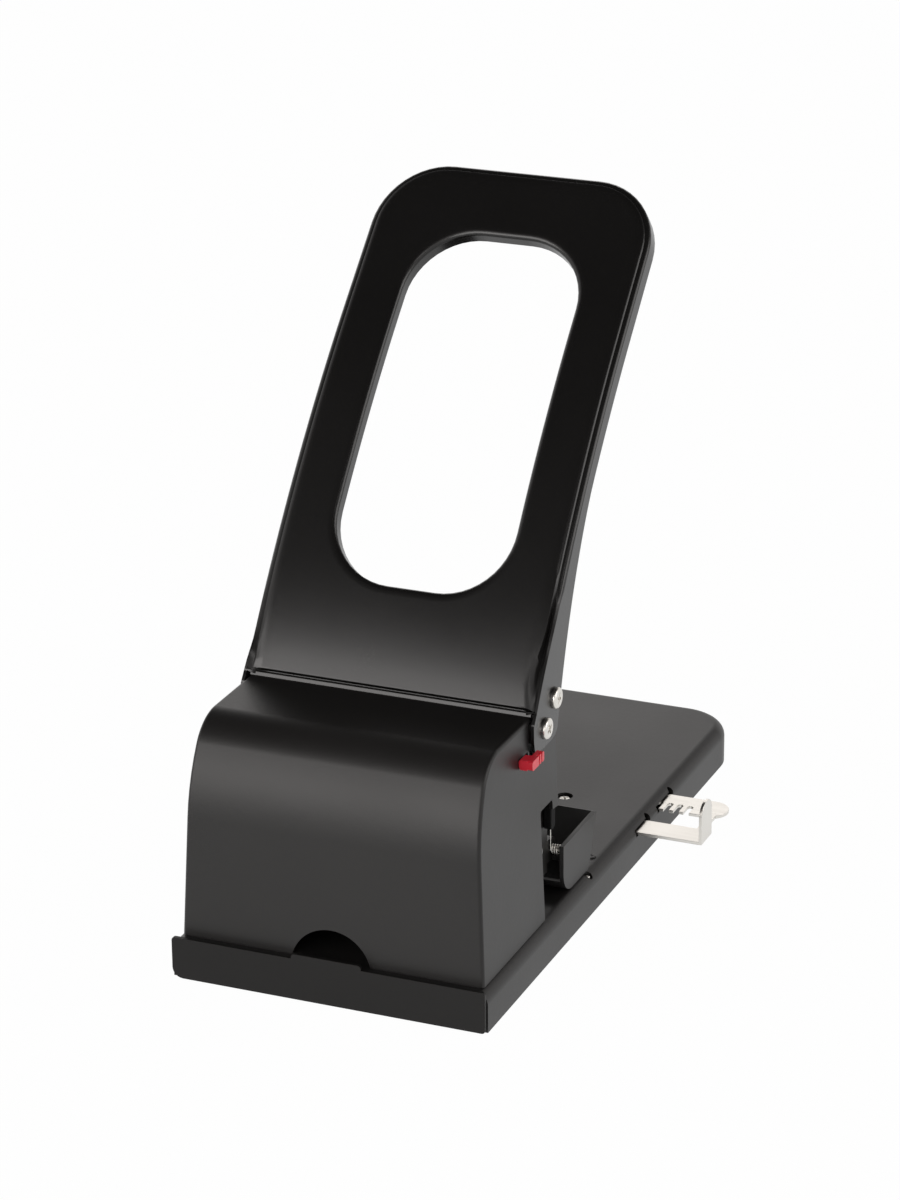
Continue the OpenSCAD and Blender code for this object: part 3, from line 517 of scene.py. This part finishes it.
# Rings of points round the opening: the wall below 0, the face from 3, the rim from 9, flanges from 14
wall_rings, face_ring, rim_ring, flange_ring, last_ring = 3, 3, 9, 14, 22
grip_lips = (0, 0.8, 2.0, 3.6)
grip_rolls = (1.2, 0.35, 0.05)
wall_deep = 6.0
rim_wide, rim_foot, rim_slant, corner_leg = 5.8, 2.1, 0.36, 24
rim_insets = {9: rim_wide, 10: 4.4, 11: 2.8, 12: 2.2, 13: 0.9}
rim_rolls = {10: 0.05, 11: 0.16, 12: 0.55, 13: 0.6, 14: 1.0}
pinch_shares = {9: 1.0, 10: 1.0, 11: 1.0, 12: 0.5}
left_dips = {12: 0.75, 13: 0.4}
foot_reach, face_dip, groove_deep, lip_dip = 46, 2.8, 3.6, 1.1
cheek_steps, cheek_gap = 4, 100


def lever_lean(s):
    return low_lean + bend_rate * min(max(s, 0), bend_long)


def lever_rear(s):
    """Place in y and z of the lever's rear line, s millimetres up from its foot."""
    bent = min(max(s, 0), bend_long)
    end = low_lean + bend_rate * bent
    y = foot_y + (math.cos(low_lean) - math.cos(end)) / bend_rate
    z = foot_z + (math.sin(end) - math.sin(low_lean)) / bend_rate
    return y + (s - bent) * math.sin(end), z + (s - bent) * math.cos(end)


def lever_point(x, s, deep):
    y, z = lever_rear(s)
    lean = lever_lean(s)
    return x, y + deep * math.cos(lean), z - deep * math.sin(lean)


def flange_deep(s):
    """The flanges are deepest at the foot."""
    return 8.5 + 15.5 * max(0, 1 - max(s, 0) / 90) ** 1.5


def edge_round(s, left_rim):
    """How far the rim is rolled over to the flange; the left one keeps its roll nearly to the foot."""
    rise = min(1, max(0, s / 14 if left_rim else (s - 4) / 46))
    return 2.2 * rise ** 2 * (3 - 2 * rise)


def cheek_foot(share):
    """The round lower edge of a cheek, from its rear to its front."""
    corners = [(57.3, 98.5), (57.3, 91.5), (58.2, 88.3), (61.5, 86.9),
               (72.5, 86.8), (77.0, 87.3), (79.6, 88.4), (80.9, 90.2)]
    place = min(share, 0.9999) * (len(corners) - 1)
    i = int(place)
    (y, z), (next_y, next_z) = corners[i], corners[i + 1]
    return y + (place - i) * (next_y - y), z + (place - i) * (next_z - z)


def lever_outline(p, half, low, high, round_top, leg=0):
    """Carries a point of the opening's edge to a wider outline; leg is how far square corners reach."""
    side = 1 if p.x > 0 else -1
    top, bottom = grip_high - grip_round, grip_low + grip_round
    foot = leg or round_top
    if bottom <= p.y <= top:
        up = (p.y - bottom) / (top - bottom)
        return side * half, low + foot + up * (high - round_top - low - foot)
    if abs(p.x) <= grip_flat + 0.01:
        return p.x / grip_flat * (half - (round_top if p.y > top else foot)), high if p.y > top else low
    turn = math.atan2(abs(p.y - (top if p.y > top else bottom)), abs(p.x) - grip_flat)
    if p.y > top:
        return (side * (half - round_top + round_top * math.cos(turn)),
                high - round_top + round_top * math.sin(turn))
    if not leg:
        return side * (half - foot + foot * math.cos(turn)), low + foot - foot * math.sin(turn)
    turn /= math.pi / 4
    return side * (half - leg * max(0, turn - 1)), low + leg * max(0, 1 - turn)


# The opening's edge is drawn first; the rings drawn out of it then become the wall, face and flanges
alone()
bpy.ops.mesh.primitive_plane_add(size=1, location=(0, 0, 0))
lever = bpy.context.object
lever.name = lever.data.name = "lever_pressing"
lever.scale = (2 * grip_half * mm, (grip_high - grip_low) * mm, 1)
lever.location = (0, ((grip_low + grip_high) / 2 - rear) * mm, 0)
settle(lever)
pick_points(lever, lambda p: True)
bpy.ops.mesh.bevel(offset=grip_round * mm, segments=12, affect="VERTICES")
pick_faces(lever, lambda c, n: True)
bpy.ops.mesh.delete(type="ONLY_FACE")
pick_edges(lever, lambda a, b, n: abs(a.y - b.y) > 60)
bpy.ops.mesh.subdivide(number_cuts=27)
pick_edges(lever, lambda a, b, n: abs(a.x - b.x) > 15)
bpy.ops.mesh.subdivide(number_cuts=13)
pick_edges(lever, lambda a, b, n: True)
for step in range(wall_rings):
    bpy.ops.mesh.extrude_region_move(TRANSFORM_OT_translate={"value": (0, 0, -1 * mm)})
pick_edges(lever, lambda a, b, n: abs(a.z) < 0.1 and abs(b.z) < 0.1)
for step in range(last_ring):
    bpy.ops.mesh.extrude_region_move(TRANSFORM_OT_translate={"value": (0, 0, 1 * mm)})
# The flanges leave the lip open, and each goes on below it as a cheek
pick_faces(lever, lambda c, n: c.z > flange_ring and c.y < turn_s and abs(c.x) < turn_x)
bpy.ops.mesh.delete(type="FACE")
pick_edges(lever, lambda a, b, n: len(n) == 1 and min(a.z, b.z) > flange_ring - 0.1
           and abs(a.z - b.z) > 0.5)
for step in range(cheek_steps):
    bpy.ops.mesh.extrude_region_move(TRANSFORM_OT_translate={"value": (0, -cheek_gap * mm, 0)})
bpy.ops.object.mode_set(mode="OBJECT")
top_z = lever_rear(lever_long)[1]
for v in lever.data.vertices:
    p = millimetres(v.co)
    ring = round(p.z)
    flange_share = (ring - flange_ring) / (last_ring - flange_ring)
    if p.y < 0:
        down = round((turn_s - p.y) / cheek_gap) / cheek_steps
        x, start_y, start_z = lever_point(math.copysign(wide, p.x), 0, flange_share * flange_deep(0))
        end_y, end_z = cheek_foot(flange_share)
        y, z = start_y + down * (end_y - start_y), start_z + down * (end_z - start_z)
    else:
        rim_x, rim_s = lever_outline(p, wide - rim_wide, rim_foot, lever_long - rim_wide,
                                     top_round - rim_wide, corner_leg)
        pinch = 2.6 * math.exp(-((rim_s - 14) / 11) ** 2) if rim_x > 40 else 0
        if ring < rim_ring:
            lip = grip_lips[min(max(ring, 0), face_ring)]
            x, s = lever_outline(p, grip_half + lip, grip_low - lip, grip_high + lip, grip_round + lip)
            t = max(0, ring - face_ring) / (rim_ring - face_ring)
            x, s = x + t * (rim_x - pinch - x), s + t * (rim_s - s)
        else:
            inset = rim_insets.get(ring, 0)
            x, s = lever_outline(p, wide - inset, rim_slant * inset, lever_long - inset,
                                 top_round - inset, corner_leg)
            x -= pinch * pinch_shares.get(ring, 0)
        near_foot = max(0, 1 - s / foot_reach)
        left_rim = x < 6 - wide
        rolled = edge_round(s, left_rim)
        deep = 0
        if ring < 0:
            deep = wall_deep * -ring / wall_rings
        elif ring > flange_ring:
            deep = rolled + flange_share * (flange_deep(s) - rolled)
        elif ring < 12 or abs(x) < wide - 4.6:
            deep = face_dip * near_foot ** 2
            if ring == 11 and not left_rim:
                deep += lip_dip * max(0, 2 * near_foot - 1)
        elif left_rim:
            deep = face_dip * near_foot ** 2 * left_dips.get(ring, 0)
        elif ring == 12:
            deep = groove_deep * min(1, 1.5 * near_foot)
        deep += rolled * rim_rolls.get(ring, 0)
        if 0 <= ring < len(grip_rolls):
            deep += grip_rolls[ring]
        x, y, z = lever_point(x, s, deep)
    x *= 1 - top_narrowing / wide * (z - pivot_z) / (top_z - pivot_z)
    v.co = spot(x, y, z)
pick_faces(lever, lambda c, n: True)
bpy.ops.mesh.remove_doubles(threshold=0.00001)
bpy.ops.mesh.normals_make_consistent(inside=False)
bpy.ops.object.mode_set(mode="OBJECT")
on_face = spot(*lever_point(0, 20, -1.0))
middle = min(lever.data.polygons, key=lambda f: (f.center - on_face).length)
if middle.normal.y > 0:
    pick_faces(lever, lambda c, n: True)
    bpy.ops.mesh.flip_normals()
put_on(lever, "SOLIDIFY", thickness=lever_sheet * mm, offset=-1)
soften(lever, lever_edge, 4, 50)
hand_over(lever, "lever", gloss_black, ["lever_frame", "handle_face"], 50)

# Hem under the lever's lip
# The pressing's lower edge is turned under into a narrow flat hem with round edges.
# It is painted with the lever.
hem_half, hem_slant = 56.6, 0.6
hem = block("lever_hem", (-hem_half, 60.3, 100.9), (hem_half, 61.4, 102.6))
pick_points(hem, lambda p: p.z > 102)
bpy.ops.transform.translate(value=(0, hem_slant * mm, 0))
soften(hem, 0.35, 3)
hand_over(hem, "lever", gloss_black)

# Screws
# Pan heads with a cross recess, nickel plated: two on each side of the lever, two sunk in the table
# over the guide's keeper, and two studs in its edge. The four that close the base were painted with it.
sides = ((1, "right"), (-1, "left"))
head_x = 59.2
drive_y, drive_z = 78.2, 102.4
post_x, post_ys = 55.9, (24, 124)


def screw_head(name, radius, high):
    head = rod(name, (0, rear, 0), (0, rear, high), radius, 36)
    pick_edges(head, lambda a, b, n: min(a.z, b.z) > high - 0.05)
    round_over(min(high * 0.62, radius * 0.4), 5)
    arm, half_slot = radius * 0.52, radius * 0.12
    cut_away(head, *[block("cut", (-x, rear - y, high * 0.5), (x, rear + y, high + 1))
                     for x, y in ((arm, half_slot), (half_slot, arm))])
    soften(head, 0.12, 2, 40)
    return head


def fit_screw(pattern, name, place, aim, spin, body, nodes, finish=nickel):
    made = pattern.copy()
    made.data = pattern.data.copy()
    made.name = made.data.name = name
    bpy.context.collection.objects.link(made)
    made.matrix_world = (Matrix.Translation(spot(*place))
                         @ Vector(aim).to_track_quat("Z", "Y").to_matrix().to_4x4()
                         @ Matrix.Rotation(math.radians(spin), 4, "Z"))
    settle(made)
    hand_over(made, body, finish, nodes)


side_head = screw_head("side_head", 4.1, 1.6)
edge_head = screw_head("edge_head", 2.3, 0.45)
stud = screw_head("edge_stud", 0.8, 1.2)
sunk_head = screw_head("sunk_head", 2.8, 1.8)
for side, word in sides:
    outward = (side, 0, 0)
    fit_screw(side_head, f"pivot_screw_{word}", (head_x * side, pivot_y, pivot_z), outward, 25,
              "base", ["pivot_screws"])
    fit_screw(side_head, f"drive_screw_{word}", (head_x * side, drive_y, drive_z), outward, -20,
              "lever", ["drive_screws"])
for i, (x, y) in enumerate((x, y) for y in post_ys for x in (post_x, -post_x)):
    fit_screw(edge_head, f"post_screw_{i + 1}", (x, y, table_top), (0, 0, 1), 15 + 40 * i,
              "base", ["post_screws"], satin_black)
for side, word in sides:
    fit_screw(stud, f"edge_stud_{word}", (stud_x * side, stud_y, 15.2), (0, 0, 1), 30, "base", [])
for side, word in sides:
    fit_screw(sunk_head, f"keeper_screw_{word}", (keeper_x * side, keeper_y, 15), (0, 0, 1), 30,
              "base", ["guide_screws"])
for pattern in (side_head, edge_head, stud, sunk_head):
    bpy.data.objects.remove(pattern, do_unlink=True)

# Chip tray and its plate
# A black plastic bin that draws out at the rear. Its plate is painted sheet with a raised finger tab.
# The plate's lower left corner is well rounded, and the others only a little.
plate_half, plate_low, plate_top = 62.5, 2.0, 18.4
tab_half, tab_top = 14, 20.3


def weld(piece, *others):
    combine(piece, "UNION", others)


plastic = two_tone("moulded_black_plastic", tones=((0.014, 0.014, 0.014), (0.022, 0.0215, 0.021)),
                   drift=(30, 3), grain=(2200, 2), lift=(0.2, 0.0001), gloss=(0.44, 0.12, 0))
coat(plastic, "chip_tray")
# The plate's paint is the satin black made darker and less reflective: painted shade for the shadowed
# floor close under the plate that its face reflects.
tray_paint_painted_shade = sprayed_paint("tray_plate_paint_painted_shade", (0.009, 0.0085, 0.0082), 0.42, 0.30, 0.19)
tray = block("tray_plate", (-plate_half, 0, plate_low), (plate_half, sheet, plate_top))
pick_edges(tray, lambda a, b, n: abs(a.y - b.y) > 1 and a.z < plate_low + 1 and a.x < 0)
round_over(4.2, 6)
pick_edges(tray, lambda a, b, n: abs(a.y - b.y) > 1
           and (a.z > plate_top - 0.4 or (a.z < plate_low + 1 and a.x > plate_half - 0.5)))
round_over(1.2, 3)
tab = block("tab", (-tab_half, 0, 10), (tab_half, sheet, tab_top))
pick_edges(tab, lambda a, b, n: abs(a.y - b.y) > 1 and a.z > tab_top - 0.3)
round_over(1.4, 4)
weld(tray, tab)
soften(tray, 0.45)
hand_over(tray, "tray", tray_paint_painted_shade, ["tray_front"])

# Paper presser
# A long trough moulded in black plastic that swings on the hinge pin and holds the paper down.
# Its front wall slants, and its rear wall is open between the ends for the hinge.
presser_half, presser_wall = 59.55, 1.6
presser_rear, presser_front = 86, 121
presser_low, presser_top = 18.2, 38.7
front_slant = 8
hinge_y, hinge_z = 88, 36.3
presser = block("paper_presser", (-presser_half, presser_rear, presser_low),
                (presser_half, presser_front, presser_top))
pick_points(presser, lambda p: p.z < presser_low + 0.8 and p.y > presser_front - 1)
bpy.ops.transform.translate(value=(0, -front_slant * mm, 0))
pick_edges(presser, lambda a, b, n: max(a.z, b.z) < presser_low + 0.8
           and max(a.y, b.y) < presser_rear + 1)
round_over(9, 8)
pick_edges(presser, lambda a, b, n: max(a.z, b.z) < presser_low + 0.8 and min(a.y, b.y) > 110)
round_over(1.5, 3)
pick_faces(presser, lambda c, n: n.z > 0.9)
bpy.ops.mesh.delete(type="FACE")
put_on(presser, "SOLIDIFY", thickness=presser_wall * mm, offset=-1, use_even_offset=True)
cut_away(presser, block("cut", (-57.95, 85, 23.6), (57.95, 88.6, 42)),
         rod("cut", (-58.8, hinge_y, hinge_z), (58.8, hinge_y, hinge_z), 1.35, 24))
soften(presser, 0.5)
hand_over(presser, "presser", plastic, ["presser_flap"])

# Spring hooks
# Two black plastic lugs on the front plate, each with a round lower end that keeps a presser spring's
# leg. Their plastic is duller than the presser's, and its colour is made darker as painted shade for the
# dark opening they hang in.
hook_inner, hook_outer = 53.9, 57.2
hook_rear, hook_front = 79.2, 83.6
hook_low, hook_top = 47.6, 57.5
# Darker than the presser's plastic: painted shade for the dark opening the lugs hang in.
hook_plastic_painted_shade = two_tone("dull_black_plastic_painted_shade", tones=((0.004, 0.004, 0.004), (0.009, 0.009, 0.009)),
                drift=(1600, 3), grain=(1600, 3), lift=(0.25, 0.0001), gloss=(0.66, 0.14, 0),
                sockets={"Specular IOR Level": 0.12})
for side, word in sides:
    low_x, high_x = sorted((hook_inner * side, hook_outer * side))
    hook = block(f"spring_hook_{word}", (low_x, hook_rear, hook_low), (high_x, hook_front, hook_top))
    pick_edges(hook, lambda a, b, n: max(a.z, b.z) < hook_low + 0.4 and abs(a.x - b.x) > 2)
    round_over(1.9, 6)
    soften(hook, 0.5, 3)
    hand_over(hook, "base", hook_plastic_painted_shade)

# Springs
# Bright wire: two coils on the hinge pin press the presser down, and two round the pins lift the bar.
# Each presser spring has one leg up to its hook and one down into the trough.
lift_turns, lift_high, lift_low = 11, 40.8, 46.7
coil_x, leg_y, leg_radius = 54.2, 85.75, 0.25


def wound(name, middle, axis, radius, wire, turns, pitch, steps=24):
    """A coil made by sweeping a round section of wire about an axis."""
    alone()
    bpy.ops.mesh.primitive_circle_add(vertices=10, radius=wire / 2 * mm, location=(radius * mm, 0, 0),
                                      rotation=(math.pi / 2, 0, 0))
    made = bpy.context.object
    made.name = made.data.name = name
    settle(made)
    put_on(made, "SCREW", axis="Z", angle=2 * math.pi * turns, screw_offset=pitch * turns * mm,
           steps=int(steps * turns), render_steps=int(steps * turns), use_normal_calculate=True)
    made.matrix_world = (Matrix.Translation(spot(*middle))
                         @ Vector(axis).to_track_quat("Z", "Y").to_matrix().to_4x4())
    return settle(made)


for side, word in sides:
    coil = wound(f"lift_spring_{word}", (pin_x * side, pin_y, lift_low), (0, 0, 1), 4.0, 1.2,
                 lift_turns, lift_high / lift_turns)
    hand_over(coil, "base", nickel, [f"return_spring_{word}"], 60)
    spot(40 * side, 78.2, 46)
    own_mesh(coil)
    coil = wound(f"presser_coil_{word}", (coil_x * side, hinge_y, hinge_z), (side, 0, 0), 1.75, 0.5,
                 3.375, 0.95)
    legs = [rod("leg", start, end, leg_radius, 10) for start, end in (
        ((coil_x * side, 86.3, hinge_z), (coil_x * side, leg_y, 54.6)),
        ((coil_x * side, leg_y, 54.5), (52.6 * side, leg_y, 55.6)),
        ((57.4 * side, 88.9, 34.9), (57.4 * side, 106, 20.3)))]
    alone()
    for piece in (coil, *legs):
        piece.select_set(True)
    bpy.context.view_layer.objects.active = coil
    bpy.ops.object.join()
    hand_over(coil, None, nickel, [f"presser_spring_{word}"], 60)
    spot(54.4 * side, 88, 36.3)
    spot(57.2 * side, 88, 36.3)
    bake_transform(coil)

# Lock knob
# A small red plastic slider with a round rear and two grip grooves, on the housing's right side.
# A neck through the slot in the housing carries it.
knob_rear, knob_front = 46.8, 58.4
knob_low, knob_top = 86.0, 89.8
groove_ys, half_groove = (56.0, 53.6), 0.45
red = two_tone("red_plastic", tones=((0.76, 0.020, 0.040), (0.88, 0.034, 0.062)),
               drift=(120, 3), grain=(1800, 2), lift=(0.12, 0.0001), gloss=(0.28, 0.10, 0))
knob = block("lock_slider", (59.94, knob_rear, knob_low), (62.54, knob_front, knob_top))
pick_edges(knob, lambda a, b, n: max(a.y, b.y) < knob_rear + 0.2 and abs(a.x - b.x) > 2)
round_over(1.1, 4)
pick_edges(knob, lambda a, b, n: min(a.y, b.y) > knob_front - 0.4 and abs(a.x - b.x) > 2)
round_over(0.8, 3)
cut_away(knob, *[block("cut", (61.64, y - half_groove, 85), (64, y + half_groove, 91))
                 for y in groove_ys])
weld(knob, block("neck", (57.5, knob_rear, knob_low), (60.4, 52.3, knob_top)),
     block("neck", (54.0, 47.0, 86.6), (60.4, 51.0, 89.2)))
soften(knob, 0.5, 3)
hand_over(knob, "lock", red, ["lock_knob"])

# Paper guide
# A nickel plated steel fork that draws out of the base: notches along its far prong, a stop tab bent
# up from the near prong, and a round end on the far one to pull it by.
guide_low, guide_top = 13.4, 14.6
guide_inner, near_end, far_end = -33.1, 88.8, 89.39
near_rear, near_front, far_rear, far_front = 158, 170, 182.5, 197
stop_top, stop_round, far_round = 29.9, 5.0, 7.2
first_notch, notch_step, half_notch, notch_count = 61.7, 4.2, 1.15, 4
guide = block("guide_fork", (guide_inner, near_rear, guide_low), (near_end, near_front, guide_top))
far = block("far", (guide_inner, far_rear, guide_low), (far_end, far_front, guide_top))
pick_edges(far, lambda a, b, n: min(a.x, b.x) > 89 and abs(a.z - b.z) > 1)
round_over(far_round, 12)
for i in range(notch_count):
    x = first_notch + notch_step * i
    notch = block("cut", (x - half_notch, 178, 12), (x + half_notch, 189, 16))
    pick_edges(notch, lambda a, b, n: abs(a.z - b.z) > 1)
    round_over(1.1, 6)
    cut_away(far, notch)
bridge = block("bridge", (83.2, 165, guide_low), (86.2, 190, guide_top))
stop = block("stop", (88.2, near_rear, guide_low), (far_end, near_front, stop_top))
pick_edges(stop, lambda a, b, n: min(a.z, b.z) > 29 and abs(a.x - b.x) > 1)
round_over(stop_round, 10)
weld(guide, far, bridge, stop)
soften(guide, 0.15, 1)
hand_over(guide, "guide", nickel, ["paper_guide"])
